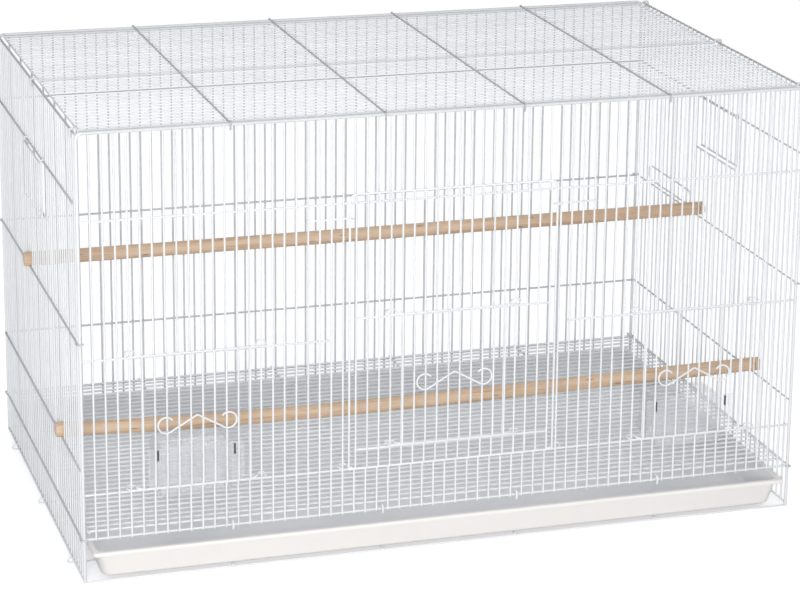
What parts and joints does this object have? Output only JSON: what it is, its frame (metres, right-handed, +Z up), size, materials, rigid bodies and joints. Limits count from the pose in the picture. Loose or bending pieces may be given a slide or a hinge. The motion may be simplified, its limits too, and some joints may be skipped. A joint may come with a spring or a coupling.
{
  "type": "bird cage",
  "caption": "White wire flight cage with lifting doors, side nest flaps, a floor grille over a sliding tray, wooden perches and clear hooded cups.",
  "frame": {"origin": "on the floor, under the middle of the whole object", "axes": "+X to the right seen from the front, +Y to the back, +Z up; the doors face -Y"},
  "size_m": [0.778, 0.4718, 0.4638],
  "materials": {
    "white_wire": "smooth gloss powder coat",
    "tray_plastic": "satin moulded plastic",
    "perch_wood": "plain turned wood",
    "clear_plastic": "clear moulded plastic"
  },
  "bodies": {
    "cage": {"front_panel": "white_wire", "back_panel": "white_wire", "left_panel": "white_wire", "right_panel": "white_wire", "roof_panel": "white_wire", "floor_grille": "white_wire", "base_wire_front": "white_wire", "base_wire_middle": "white_wire", "base_wire_back": "white_wire", "floor_wire": "white_wire", "runner_1": "white_wire", "runner_2": "white_wire", "runner_3": "white_wire", "runner_4": "white_wire", "left_door_catch": "white_wire", "right_door_catch": "white_wire", "upper_perch": "perch_wood", "lower_perch": "perch_wood", "left_cup": "clear_plastic", "right_cup": "clear_plastic", "wire_loop": "white_wire"},
    "tray": {"tray": "tray_plastic"},
    "large_door": {"large_door": "white_wire"},
    "inner_door": {"inner_door": "white_wire", "inner_door_handle": "white_wire"},
    "left_cup_door": {"left_cup_door": "white_wire", "left_cup_door_handle": "white_wire"},
    "right_cup_door": {"right_cup_door": "white_wire", "right_cup_door_handle": "white_wire"},
    "left_nest_door": {"left_nest_door": "white_wire"},
    "right_nest_door": {"right_nest_door": "white_wire"}
  },
  "joints": [
    {"name": "tray_slide", "type": "slide", "parent": "cage", "child": "tray", "axis": [0, -1, 0], "range_m": [0, 0.4]},
    {"name": "large_door_slide", "type": "slide", "parent": "cage", "child": "large_door", "axis": [0, 0, 1], "range_m": [0, 0.255]},
    {"name": "inner_door_slide", "type": "slide", "parent": "large_door", "child": "inner_door", "axis": [0, 0, 1], "range_m": [0, 0.118]},
    {"name": "left_cup_door_slide", "type": "slide", "parent": "cage", "child": "left_cup_door", "axis": [0, 0, 1], "range_m": [0, 0.13]},
    {"name": "right_cup_door_slide", "type": "slide", "parent": "cage", "child": "right_cup_door", "axis": [0, 0, 1], "range_m": [0, 0.13]},
    {"name": "left_nest_door_hinge", "type": "hinge", "parent": "cage", "child": "left_nest_door", "pos_m": [-0.38153, -0.05288, 0.389], "axis": [0, 1, 0], "range_deg": [0, 95]},
    {"name": "right_nest_door_hinge", "type": "hinge", "parent": "cage", "child": "right_nest_door", "pos_m": [0.38153, -0.05288, 0.389], "axis": [0, -1, 0], "range_deg": [0, 95]}
  ]
}
